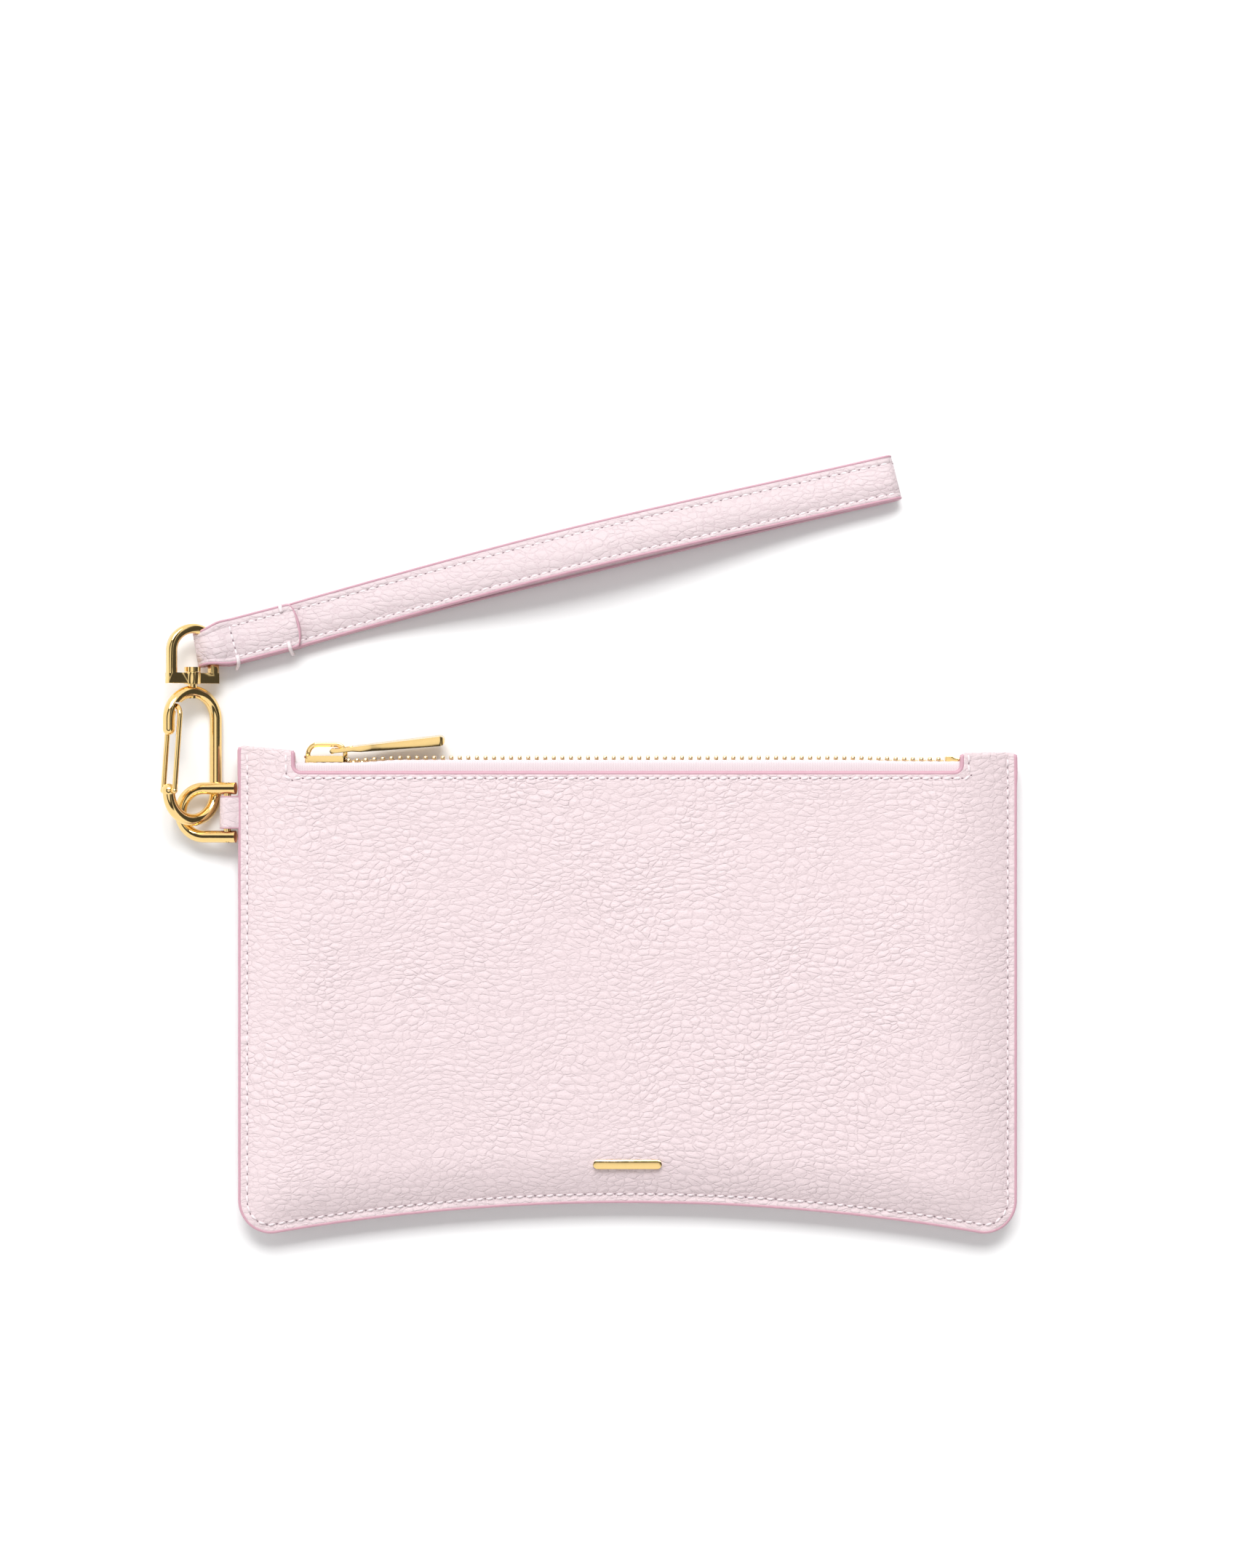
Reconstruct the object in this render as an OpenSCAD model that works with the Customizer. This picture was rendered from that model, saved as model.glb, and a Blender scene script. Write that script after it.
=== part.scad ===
// Wristlet wallet lying on its back: +X right, +Y towards the zip, +Z up.
// Origin: middle of the back panel's outer face. Lengths in millimetres.

/* [Pouch] */
// Width of the pouch
pouch_w = 214; // [205:1:220]
// Height of the ears, from the middle of the pouch
ear_top = 66.5; // [64:0.5:68]
// Height of the lowest leather, at the bottom corners
bottom_low = -66.6; // [-68:0.2:-65]
// Height of the bottom edge at the middle
bottom_mid = -58.2; // [-60:0.2:-57]
// Half width of the zip window
window_half = 91.5; // [90:0.5:92]
// Height of the window's lower edge
window_edge = 60.2; // [59.5:0.1:60.5]
// Thickness of the closed pouch
pouch_t = 12; // [12:0.1:12.2]
// Thickness of one leather panel
leather_t = 1.25; // [1.2:0.05:1.3]
// Thickness of the lining cloth
lining_t = 0.2; // [0.15:0.05:0.2]

/* [Zip] */
// Distance between teeth of one row
tooth_pitch = 2.35; // [2.3:0.01:2.4]
// Number of teeth in one row
tooth_count = 73; // [70:1:73]
// Length of the slider
slider_len = 11.9; // [11.5:0.1:12]
// Length of the pull tab from its eye
pull_len = 31; // [28:0.5:34]

/* [Hardware] */
// Radius of the shackle's rod
shackle_r = 1.66; // [1.5:0.01:1.68]
// Radius of the hook's rod
hook_r = 1.68; // [1.5:0.01:1.7]
// Radius of the gate wire
gate_r = 0.72; // [0.65:0.01:0.74]
// Tilt of the hook's plane about +Y
hook_tilt = 40; // [39:0.5:41]
// Tilt of the swivel bail about +Y
bail_tilt = 28; // [27:0.5:29]
// Downward slope of the shackle
shackle_dip = 12; // [11.5:0.1:12.5]

/* [Strap] */
// Width of the wrist strap
strap_w = 12; // [11:0.5:12]
// Thickness of one run of the strap
strap_t = 1.7; // [1.5:0.05:1.7]
// Direction of the strap above +X
strap_angle = 13.9; // [13:0.1:14.5]
// Height of the wrist opening between the two runs
strap_gap = 7; // [5:0.5:8]

/* [Hidden] */

half_w = pouch_w / 2;
mid_z = pouch_t / 2;
rim_half = leather_t + lining_t;
dome_rise = mid_z - rim_half;
dome_run = 15;
bottom_x_low = 97.8;
bottom_sag = bottom_mid - bottom_low;
bottom_r = (bottom_x_low * bottom_x_low + bottom_sag * bottom_sag) / (2 * bottom_sag);
corner_r = 9;
corner_y = -57.4;
window_corner_r = 2;

tooth_w = 1.15;
tooth_low = 61.5;
tooth_top = 64.05;
tooth_in = -0.7;
tooth_out = 3.1;
first_tooth = 85.5 - (tooth_count - 1) * tooth_pitch;
tape_low = 62.4;
tape_high = 62.8;
tape_edge = 1.9;
tape_end = 93.5;
tape_web_t = 0.4;
tape_hem = 50;
slider_x = -88.9;
slider_half = 3.9;
slider_top = 64.75;
plate_t = 0.6;
eye_x = -81.2;
eye_y = 66.2;
pull_angle = 5.4;
pull_roll = 6;

pin_x = -110.2;
pin_y = 49.15;
pin_z = 6.5;
pin_r = 1;
tab_low = 44.8;
tab_w = 8.8;
neck_low = 5.1;
neck_t = 1.8;
fit = 0.05;
shackle_bend = 6.65;
shackle_leg = 6.8;
shackle_tail = 2.4;

hook_x = -119.8;
hook_y = 64.75;
hook_bend = 7.64;
hook_straight = 20;
hook_z = hook_r + 0.07 + hook_bend * sin(hook_tilt);
nose_v = 7.35;
knob_v = -9.55;
knob_r = 1.95;
gate_w = knob_r + gate_r + 0.15;
gate_end_u = -5.9;
gate_end_v = 10.9;

bail_a = 6.1;
bail_half = 1.3;
bail_depth = 2.9;
bail_low = 84.7;
bail_bar = 2.9;
bail_arch_y = 93.7;
swivel_r = 1.3;
swivel_head_r = 2.25;

leg_x = hook_x + bail_a * cos(bail_tilt);
leg_z = hook_z - bail_a * sin(bail_tilt);
wrap_bore = 2.05;
wrap_out = wrap_bore + strap_t;
wrap_low = 88.7;
wrap_high = 95.8;
flap_x = -91.5;
flap_y = 101;
strap_far = 171;
strap_near = -18;
lap = -12;
run_low = leg_z - wrap_out;
far_gap = 1.4;
lens_steps = 40;

leather = [0.93, 0.82, 0.84];
cloth = [0.90, 0.80, 0.80];
tape_pink = [0.96, 0.88, 0.90];
gold = [0.86, 0.66, 0.29];

// ---------- shared shapes ----------

function ease(t) = t <= 0 ? 0 : (t >= 1 ? 1 : t * (2 - t));
function bottom_y(x) = bottom_mid - bottom_r + sqrt(bottom_r * bottom_r - x * x);
function rise(x, y) =
    dome_rise * ease((half_w - abs(x)) / dome_run) * ease((y - bottom_y(x)) / dome_run);

// Flat outline of a panel, with its ears, window, arched bottom and round corners
module panel_outline() {
    difference() {
        union() {
            translate([-half_w, corner_y]) square([pouch_w, ear_top - corner_y]);
            translate([-(half_w - corner_r), bottom_low - 1])
                square([2 * (half_w - corner_r), corner_y - bottom_low + 2]);
            for (s = [-1, 1]) translate([s * (half_w - corner_r), corner_y]) circle(corner_r, $fn = 64);
        }
        translate([0, bottom_mid - bottom_r]) circle(bottom_r, $fn = 360);
        translate([-window_half + window_corner_r, window_edge])
            square([2 * (window_half - window_corner_r), 20]);
        translate([-window_half, window_edge + window_corner_r]) square([2 * window_half, 20]);
        for (s = [-1, 1])
            translate([s * (window_half - window_corner_r), window_edge + window_corner_r])
                circle(window_corner_r, $fn = 32);
    }
}

slope_steps = [0, 1.5, 3.5, 6, 9, 12, 15];
mid_columns = 8;
flat_half = half_w - dome_run;
column_x = concat(
    [for (d = slope_steps) -half_w - 0.5 + d * (dome_run + 0.5) / dome_run],
    [for (i = [1:mid_columns - 1]) -flat_half + 2 * flat_half * i / mid_columns],
    [for (i = [len(slope_steps) - 1:-1:0])
        half_w + 0.5 - slope_steps[i] * (dome_run + 0.5) / dome_run]
);
row_count = len(slope_steps) + 1;
function row_y(x, j) = j < len(slope_steps) ? bottom_y(x) - 0.5 + slope_steps[j] * 15.5 / 15 : ear_top + 1;

// Domed sheet over the panel's outline; offset and thickness are measured along Z
module domed_sheet(offset_in, thick) {
    n = len(column_x);
    m = row_count;
    top = [for (i = [0:n - 1]) for (j = [0:m - 1])
        [column_x[i], row_y(column_x[i], j),
            rim_half - offset_in + rise(column_x[i], row_y(column_x[i], j))]];
    low = [for (p = top) [p[0], p[1], p[2] - thick]];
    c = n * m;
    function at(i, j) = i * m + j;
    faces = concat(
        [for (i = [0:n - 2]) for (j = [0:m - 2]) [at(i, j), at(i, j + 1), at(i + 1, j + 1)]],
        [for (i = [0:n - 2]) for (j = [0:m - 2]) [at(i, j), at(i + 1, j + 1), at(i + 1, j)]],
        [for (i = [0:n - 2]) for (j = [0:m - 2]) [c + at(i, j), c + at(i + 1, j + 1), c + at(i, j + 1)]],
        [for (i = [0:n - 2]) for (j = [0:m - 2]) [c + at(i, j), c + at(i + 1, j), c + at(i + 1, j + 1)]],
        [for (i = [0:n - 2]) [at(i, 0), at(i + 1, 0), c + at(i + 1, 0), c + at(i, 0)]],
        [for (i = [0:n - 2]) [at(i + 1, m - 1), at(i, m - 1), c + at(i, m - 1), c + at(i + 1, m - 1)]],
        [for (j = [0:m - 2]) [at(0, j + 1), at(0, j), c + at(0, j), c + at(0, j + 1)]],
        [for (j = [0:m - 2]) [at(n - 1, j), at(n - 1, j + 1), c + at(n - 1, j + 1), c + at(n - 1, j)]]
    );
    intersection() {
        polyhedron(concat(top, low), faces, convexity = 6);
        translate([0, 0, -1]) linear_extrude(mid_z + 2) panel_outline();
    }
}

// Places the front half as drawn, or mirrors it to the back
module half(side) translate([0, 0, mid_z]) mirror([0, 0, side > 0 ? 0 : 1]) children();

module tab_slot() translate([-half_w - 1, tab_low - 0.05, neck_low - 0.05])
    cube([7.3, tab_w + 0.1, neck_t + 0.1]);

module panel(side) {
    difference() {
        half(side) domed_sheet(0, leather_t);
        tab_slot();
    }
}

module lining(side) {
    difference() {
        half(side) domed_sheet(leather_t, lining_t);
        tab_slot();
    }
}

module front_panel() color(leather) panel(1);
module back_panel() color(leather) panel(-1);
module front_lining() color(cloth) lining(1);
module back_lining() color(cloth) lining(-1);

// Flat pocket sewn to the back lining along three edges
module slip_pocket() {
    pocket_w = 120;
    pocket_low = -38;
    pocket_h = 64;
    floor_z = mid_z - dome_rise;
    color(cloth) difference() {
        translate([-pocket_w / 2, pocket_low, floor_z]) cube([pocket_w, pocket_h, 0.9]);
        translate([-pocket_w / 2 + 1.5, pocket_low + 1.5, floor_z - 0.1])
            cube([pocket_w - 3, pocket_h, 0.7]);
    }
}

module zip_tape(side) {
    web = dome_rise;
    half(side) {
        translate([-tape_end, tape_hem, web - tape_web_t])
            cube([2 * tape_end, tape_high - tape_hem, tape_web_t]);
        translate([-tape_end, tape_low, tape_edge])
            cube([2 * tape_end, tape_high - tape_low, web - tape_edge]);
    }
}
module zip_tape_front() color(tape_pink) zip_tape(1);
module zip_tape_back() color(tape_pink) zip_tape(-1);

module tooth_row(side, shift) {
    half(side) difference() {
        for (i = [0:tooth_count - 1])
            translate([first_tooth + shift + i * tooth_pitch - tooth_w / 2, tooth_low, tooth_in])
                cube([tooth_w, tooth_top - tooth_low, tooth_out - tooth_in]);
        translate([-tape_end, tape_low, tape_edge])
            cube([2 * tape_end, tape_high - tape_low, tooth_out]);
    }
}
module zip_teeth_front() color(gold) tooth_row(1, 0);
module zip_teeth_back() color(gold) tooth_row(-1, tooth_pitch / 2);

module zip_top_stops() {
    color(gold) for (side = [-1, 1]) half(side) difference() {
        translate([-88.3, tooth_low + 0.1, 1.1]) cube([2, tooth_top - tooth_low - 0.2, 1.9]);
        translate([-tape_end, tape_low, tape_edge]) cube([10, tape_high - tape_low, 2]);
    }
}

module zip_bottom_stop() {
    color(gold) difference() {
        translate([87.4, 61.2, mid_z - 2.5]) cube([4, 3.4, 5]);
        for (side = [-1, 1]) half(side)
            translate([80, tape_low, tape_edge]) cube([20, tape_high - tape_low, 2]);
    }
}

// Leather loop of two layers, folded around the shackle's pin
module side_tab() {
    nose_x = -111.1;
    nose_r = 2;
    color(leather) translate([0, tab_low + tab_w, 0]) rotate([90, 0, 0]) difference() {
        linear_extrude(tab_w) {
            translate([nose_x, pin_z]) circle(nose_r, $fn = 48);
            translate([nose_x, pin_z - nose_r]) square([3, 2 * nose_r]);
            translate([nose_x + 3, neck_low]) square([9.9, neck_t]);
        }
        translate([pin_x, pin_z, -1]) cylinder(r = pin_r + fit, h = tab_w + 2, $fn = 48);
    }
}

// Plain bar where the maker's lettering would be
module plain_badge() {
    bar_w = 18.8;
    bar_h = 2.4;
    bar_y = -47.4;
    color(gold) translate([0, bar_y, mid_z + rim_half + rise(0, bar_y) - 0.15])
        rotate([-9.6, 0, 0]) linear_extrude(0.75) {
            translate([-(bar_w - bar_h) / 2, -bar_h / 2]) square([bar_w - bar_h, bar_h]);
            for (s = [-1, 1]) translate([s * (bar_w - bar_h) / 2, 0]) circle(bar_h / 2, $fn = 40);
        }
}

// ---------- zip slider and pull ----------

module rounded_plate(w, h, r, thick) {
    linear_extrude(thick) {
        translate([r, 0]) square([w - 2 * r, h]);
        translate([0, r]) square([w, h - 2 * r]);
        for (x = [r, w - r]) for (y = [r, h - r]) translate([x, y]) circle(r, $fn = 40);
    }
}

// Plate lying in the X-Z plane, its lower face at height y
module slider_plate(y) {
    translate([slider_x, y + plate_t, mid_z - slider_half]) rotate([90, 0, 0])
        rounded_plate(slider_len, 2 * slider_half, 1.4, plate_t);
}

module slider_body() {
    low_y = 60.5;
    flange_w = 0.55;
    post_len = 3.4;
    gap_up = tape_high + 0.25;
    gap_down = tape_low - 0.25;
    color(gold) {
        slider_plate(slider_top - plate_t);
        slider_plate(low_y);
        for (side = [-1, 1]) half(side) {
            translate([slider_x + 1, gap_up, slider_half - flange_w])
                cube([slider_len - 2, slider_top - 0.1 - gap_up, flange_w]);
            translate([slider_x + 1, low_y + 0.1, slider_half - flange_w])
                cube([slider_len - 2, gap_down - low_y - 0.1, flange_w]);
        }
        translate([slider_x + 0.1, low_y + 0.1, mid_z - 0.7])
            cube([post_len, slider_top - low_y - 0.2, 1.4]);
    }
}

module arch_outline(w, h, r) intersection() {
    square([w, h]);
    union() {
        square([w, h - r]);
        translate([r, 0]) square([w - 2 * r, h]);
        for (x = [r, w - r]) translate([x, h - r]) circle(r, $fn = 48);
    }
}

module slider_bail() {
    bail_w = 11.5;
    bail_h = 3.75;
    strip = 1.25;
    color(gold) translate([slider_x + 0.3, slider_top, mid_z - 0.9]) linear_extrude(1.8)
        difference() {
            arch_outline(bail_w, bail_h, 3.3);
            translate([strip, -0.01]) arch_outline(bail_w - 2 * strip, bail_h - strip + 0.01, 2.1);
        }
}

// Flat tab with a slotted eye; its length runs along local +X from the eye bar
module pull_tab() {
    root_w = 5;
    end_w = 6;
    slot_w = 2.8;
    slot_len = 5.6;
    bar_r = 0.7;
    taper_x = 11;
    root_t = 1.1;
    end_t = 2.6;
    color(gold) translate([eye_x, eye_y, mid_z]) rotate([0, 0, pull_angle]) rotate([pull_roll, 0, 0]) {
        intersection() {
            rotate([90, 0, 0]) translate([0, 0, -2]) linear_extrude(4) difference() {
                union() {
                    polygon([[0, -root_w / 2], [taper_x, -root_w / 2], [taper_x + 3, -end_w / 2],
                        [pull_len - 1.5, -end_w / 2], [pull_len - 1.5, end_w / 2],
                        [taper_x + 3, end_w / 2], [taper_x, root_w / 2], [0, root_w / 2]]);
                    translate([pull_len - 3, -end_w / 2 + 1.5]) square([3, end_w - 3]);
                    for (s = [-1, 1])
                        translate([pull_len - 1.5, s * (end_w / 2 - 1.5)]) circle(1.5, $fn = 40);
                }
                translate([-1, -slot_w / 2]) square([slot_len + 1, slot_w]);
            }
            translate([0, 0, -end_w]) linear_extrude(2 * end_w) {
                polygon([[0, -root_t / 2], [5.2, -root_t / 2], [7.6, -0.9],
                    [pull_len - end_t / 2, -end_t / 2], [pull_len - end_t / 2, end_t / 2],
                    [7.6, 0.7], [3.4, root_t / 2], [0, root_t / 2]]);
                translate([pull_len - end_t / 2, 0]) circle(end_t / 2, $fn = 40);
            }
        }
        cylinder(h = root_w, r = bar_r, center = true, $fn = 40);
    }
}

// ---------- shackle, hook and swivel ----------

module shackle_place() translate([pin_x, pin_y, pin_z]) rotate([0, -shackle_dip, 0]) children();

module shackle() {
    arm = shackle_leg + shackle_tail;
    color(gold) shackle_place() difference() {
        union() {
            for (s = [-1, 1]) translate([-shackle_leg, s * shackle_bend, 0]) rotate([0, 90, 0])
                cylinder(r = shackle_r, h = arm, $fn = 64);
            translate([-shackle_leg, 0, 0]) rotate([0, 0, 90])
                rotate_extrude(angle = 180, $fn = 128) translate([shackle_bend, 0]) circle(shackle_r, $fn = 64);
        }
        rotate([90, 0, 0]) cylinder(r = pin_r, h = 30, center = true, $fn = 48);
    }
}

module shackle_pin() {
    color(gold) translate([pin_x, pin_y, pin_z]) rotate([90, 0, 0])
        cylinder(r = pin_r, h = 2 * (shackle_bend + shackle_r) - 0.1, center = true, $fn = 48);
}

module hook_place() translate([hook_x, hook_y, hook_z]) rotate([0, hook_tilt, 0]) children();

module rod_along_y(r, low, high) translate([0, low, 0]) rotate([-90, 0, 0])
    cylinder(r = r, h = high - low, $fn = 64);

module half_ring(bend, r, turn) rotate([0, 0, turn])
    rotate_extrude(angle = 180, $fn = 128) translate([bend, 0]) circle(r, $fn = 64);

module hook_frame() {
    half_s = hook_straight / 2;
    color(gold) hook_place() difference() {
        union() {
            translate([hook_bend, 0, 0]) rod_along_y(hook_r, -half_s, half_s);
            translate([0, half_s, 0]) half_ring(hook_bend, hook_r, 0);
            translate([0, -half_s, 0]) half_ring(hook_bend, hook_r, 180);
            translate([-hook_bend, 0, 0]) {
                rod_along_y(hook_r, nose_v, half_s);
                translate([0, nose_v, 0]) sphere(hook_r, $fn = 64);
                translate([0, knob_v, 0]) sphere(knob_r, $fn = 64);
            }
        }
        translate([-6.7, 12.2, -3]) cube([4, 2.5, 6]);
        translate([-hook_bend, knob_v, 0]) cylinder(r = gate_r + fit, h = 6, center = true, $fn = 48);
        translate([0, hook_bend, 0]) rod_along_y(swivel_r, half_s - hook_r - 1, half_s + 3);
    }
}

// Rivet that the bail turns on: neck and head
module swivel_pin() {
    neck_low = hook_straight / 2 + hook_bend - hook_r - 0.15;
    head_low = bail_low + bail_bar + 0.3 - hook_y;
    color(gold) hook_place() {
        rod_along_y(swivel_r, neck_low, head_low + 0.2);
        rod_along_y(swivel_head_r, head_low, head_low + 1.3);
    }
}

// Sprung wire hairpin; its feet turn in the knob's cross hole
module gate_wire() {
    foot = [-hook_bend, knob_v];
    run = [gate_end_u - foot[0], gate_end_v - foot[1]];
    length = norm(run);
    lean = atan2(run[0], run[1]);
    foot_depth = 0.7;
    color(gold) hook_place() translate([foot[0], foot[1], 0]) rotate([0, 0, -lean]) {
        for (s = [-1, 1]) {
            translate([0, 0, s * (gate_w + foot_depth) / 2])
                cylinder(r = gate_r, h = gate_w - foot_depth, center = true, $fn = 48);
            translate([0, 0, s * gate_w]) {
                sphere(gate_r + 0.08, $fn = 48);
                rod_along_y(gate_r, 0, length);
            }
        }
        translate([0, length, 0]) rotate([0, 90, 0]) half_ring(gate_w, gate_r, 0);
    }
}

module bail_section() intersection() {
    circle(1.62, $fn = 64);
    square([2 * bail_half, bail_depth], center = true);
}

module swivel_bail() {
    leg_low = bail_low + 0.2;
    boss_r = 2.3;
    color(gold) translate([hook_x, 0, hook_z]) rotate([0, bail_tilt, 0]) difference() {
        union() {
            for (s = [-1, 1]) translate([s * bail_a, bail_arch_y, 0]) rotate([90, 0, 0])
                linear_extrude(bail_arch_y - leg_low) bail_section();
            translate([0, bail_arch_y, 0]) rotate_extrude(angle = 180, $fn = 128)
                translate([bail_a, 0]) bail_section();
            translate([-bail_a - bail_half, bail_low, -bail_depth / 2])
                cube([2 * (bail_a + bail_half), bail_bar, bail_depth]);
            rod_along_y(boss_r, bail_low - 0.2, bail_low + bail_bar + 0.2);
        }
        rod_along_y(swivel_r + fit, bail_low - 1, bail_low + bail_bar + 1);
    }
}

// ---------- wrist strap ----------

// Local frame of the strap: +X along its length, its origin under the flap's end
module strap_place() translate([flap_x, flap_y, run_low]) rotate([0, 0, strap_angle]) children();

module strap_band(width) translate([0, width / 2, 0]) rotate([90, 0, 0]) linear_extrude(width) children();

lens_start = 8;
lens_end = strap_far - 6;
function lens(s) = let (t = (s - lens_start) / (lens_end - lens_start))
    strap_gap * pow(sin(180 * t), 2) + (far_gap) * t;

// Eye around the bail's leg, with the flap that covers the ends
module strap_wrap() {
    eye_depth = 8;
    eye_arc = [for (a = [90:7.5:270]) wrap_out * [cos(a), sin(a)]];
    color(leather) difference() {
        union() {
            translate([leg_x, wrap_high, leg_z]) rotate([90, 0, 0]) linear_extrude(wrap_high - wrap_low)
                polygon(concat(eye_arc,
                    [[eye_depth, -wrap_out], [eye_depth, 3 * strap_t - wrap_out + 0.1]]));
            strap_place() strap_band(strap_w) polygon([[strap_near, 0.02], [lap, 0.02],
                [lap, 2 * strap_t], [0, 2 * strap_t], [0, 3 * strap_t], [strap_near, 3 * strap_t]]);
        }
        translate([leg_x, 0, leg_z]) rod_along_y(wrap_bore, 80, 110);
    }
}

module strap_lower_run() {
    color(leather) strap_place() strap_band(strap_w)
        translate([lap, 0]) square([strap_far - lap, strap_t]);
}

// Upper run with the lens-shaped wrist opening below it and the far fold
module strap_upper_run() {
    fold_r = strap_t + far_gap / 2;
    steps = [for (i = [0:lens_steps]) lens_start + (lens_end - lens_start) * i / lens_steps];
    color(leather) strap_place() strap_band(strap_w) {
        translate([lap, strap_t]) square([lens_start - lap, strap_t]);
        polygon(concat([for (s = steps) [s, strap_t + lens(s)]],
            [for (i = [lens_steps:-1:0]) [steps[i], 2 * strap_t + lens(steps[i])]]));
        translate([lens_end, strap_t + far_gap]) square([strap_far - lens_end, strap_t]);
        difference() {
            translate([strap_far, fold_r]) circle(fold_r, $fn = 64);
            translate([strap_far, fold_r]) circle(far_gap / 2, $fn = 64);
            translate([strap_far - 10, -1]) square([10, 10]);
        }
    }
}

front_panel();
back_panel();
front_lining();
back_lining();
slip_pocket();
zip_tape_front();
zip_tape_back();
zip_teeth_front();
zip_teeth_back();
zip_top_stops();
zip_bottom_stop();
side_tab();
plain_badge();
slider_body();
slider_bail();
pull_tab();
shackle();
shackle_pin();
hook_frame();
swivel_pin();
gate_wire();
swivel_bail();
strap_wrap();
strap_lower_run();
strap_upper_run();
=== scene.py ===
import math

import bmesh
import bpy
import numpy as np
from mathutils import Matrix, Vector, geometry, noise


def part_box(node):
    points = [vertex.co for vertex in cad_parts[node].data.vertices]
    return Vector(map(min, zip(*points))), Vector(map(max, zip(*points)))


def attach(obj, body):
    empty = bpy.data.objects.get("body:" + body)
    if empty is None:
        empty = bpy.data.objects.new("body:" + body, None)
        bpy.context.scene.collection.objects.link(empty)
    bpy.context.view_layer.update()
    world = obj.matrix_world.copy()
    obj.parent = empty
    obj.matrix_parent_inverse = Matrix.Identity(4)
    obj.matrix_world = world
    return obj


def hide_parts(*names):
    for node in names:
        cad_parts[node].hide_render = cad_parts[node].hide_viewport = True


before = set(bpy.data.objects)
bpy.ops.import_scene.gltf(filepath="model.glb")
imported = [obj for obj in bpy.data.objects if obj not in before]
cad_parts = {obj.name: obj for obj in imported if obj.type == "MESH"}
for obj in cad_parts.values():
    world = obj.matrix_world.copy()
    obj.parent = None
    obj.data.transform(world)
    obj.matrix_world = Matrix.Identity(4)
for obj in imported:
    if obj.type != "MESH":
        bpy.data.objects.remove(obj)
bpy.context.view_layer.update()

# Every length in the shape functions is in millimetres; MM turns it into metres.
MM = 0.001
METRE = 1000.0


def box_mm(node):
    """Lowest and highest corner of a CAD node, in millimetres."""
    low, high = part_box(node)
    return np.array(low) * METRE, np.array(high) * METRE


# ---------------------------------------------------------------- sizes

panel_low, panel_high = box_mm("front_panel")
HALF_W = panel_high[0]
EAR_TOP = panel_high[1]
FRONT_Z = panel_high[2]
MID_Z = FRONT_Z / 2
LEATHER_T = 1.25
LINING_T = 0.2
RIM_HALF = LEATHER_T + LINING_T
DOME_RISE = MID_Z - RIM_HALF
DOME_RUN = 15.0
BOTTOM_MID = -58.2
BOTTOM_LOW_X = 97.8
BOTTOM_LOW = panel_low[1]
BOTTOM_SAG = BOTTOM_MID - BOTTOM_LOW
BOTTOM_R = (BOTTOM_LOW_X**2 + BOTTOM_SAG**2) / (2 * BOTTOM_SAG)
CORNER_R = 9.0
CORNER_Y = BOTTOM_LOW + CORNER_R
WINDOW_HALF = 91.5
WINDOW_EDGE = 60.2
WINDOW_R = 2.0
RIM_FLAT = 2.1
DOME_SIDE_EXTRA = 6.0
RIGHT_EAR = (EAR_TOP - 0.75, EAR_TOP - 0.85)  # an ear's height at its outer and its inner corner
LEFT_EAR = (EAR_TOP + 1.1, EAR_TOP - 0.15)

# Seams. A size is a thread's or a hole's length, width and height.
STITCH_INSET = 2.35
STITCH_PITCH = 2.75
STITCH_SIZE = (2.05, 0.68, 0.5)
STITCH_SLANT = math.radians(7)
FRONT_STITCH_LIFT, BACK_STITCH_LIFT = 0.08, -0.26
HOLE_SIZE = (0.75, 0.36, 0.2)
HOLE_RINGS, HOLE_AROUND = 5, 6
HOLE_SINK = 0.12
NO_HOLES = 4.0  # no holes show this near an ear's top
SEAM_END = 1.2
ROUTE_STEP = 0.25


# ---------------------------------------------------------------- small helpers

def mesh_piece(name, points, faces, material):
    """A mesh object from points in millimetres."""
    mesh = bpy.data.meshes.new(name)
    mesh.from_pydata([tuple(float(c) * MM for c in p) for p in points], [], [tuple(f) for f in faces])
    mesh.validate()
    obj = bpy.data.objects.new(name, mesh)
    bpy.context.scene.collection.objects.link(obj)
    mesh.polygons.foreach_set("use_smooth", [True] * len(mesh.polygons))
    mesh.materials.append(material)
    fix = bmesh.new()
    fix.from_mesh(mesh)
    bmesh.ops.recalc_face_normals(fix, faces=fix.faces)
    fix.to_mesh(mesh)
    fix.free()
    return obj


def place(obj, body, slot, *nodes):
    """Rides a body and stands for CAD nodes, which it hides; the slot argument is not used."""
    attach(obj, body)
    if nodes:
        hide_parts(*nodes)


def merged(parts):
    """Joins (points, faces) pairs into one."""
    points, faces = [], []
    for part_points, part_faces in parts:
        base = len(points)
        points.extend(part_points)
        faces.extend([tuple(i + base for i in f) for f in part_faces])
    return points, faces


def unit(v):
    v = np.asarray(v, float)
    return v / max(np.linalg.norm(v), 1e-9)


def sweep(path, sides, ups, profile, closed=False, scales=None):
    """Sweeps a closed profile of (side, up) points along a path with given side and up vectors."""
    points, faces = [], []
    n, m = len(path), len(profile)
    for i, p in enumerate(path):
        k = (1.0, 1.0) if scales is None else scales[i]
        for a, b in profile:
            points.append(np.asarray(p) + np.asarray(sides[i]) * a * k[0] + np.asarray(ups[i]) * b * k[1])
    last = n if closed else n - 1
    for i in range(last):
        j = (i + 1) % n
        for k in range(m):
            q = (k + 1) % m
            faces.append((i * m + k, i * m + q, j * m + q, j * m + k))
    if not closed:
        faces.append(tuple(range(m))[::-1])
        faces.append(tuple((n - 1) * m + k for k in range(m)))
    return points, faces


def ellipse(a, b, n=16, squareness=2.0):
    """A round profile; a squareness above 2 flattens its sides."""
    out = []
    for i in range(n):
        t = 2 * math.pi * i / n
        c, s = math.cos(t), math.sin(t)
        out.append((a * math.copysign(abs(c) ** (2 / squareness), c),
                    b * math.copysign(abs(s) ** (2 / squareness), s)))
    return out


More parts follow.
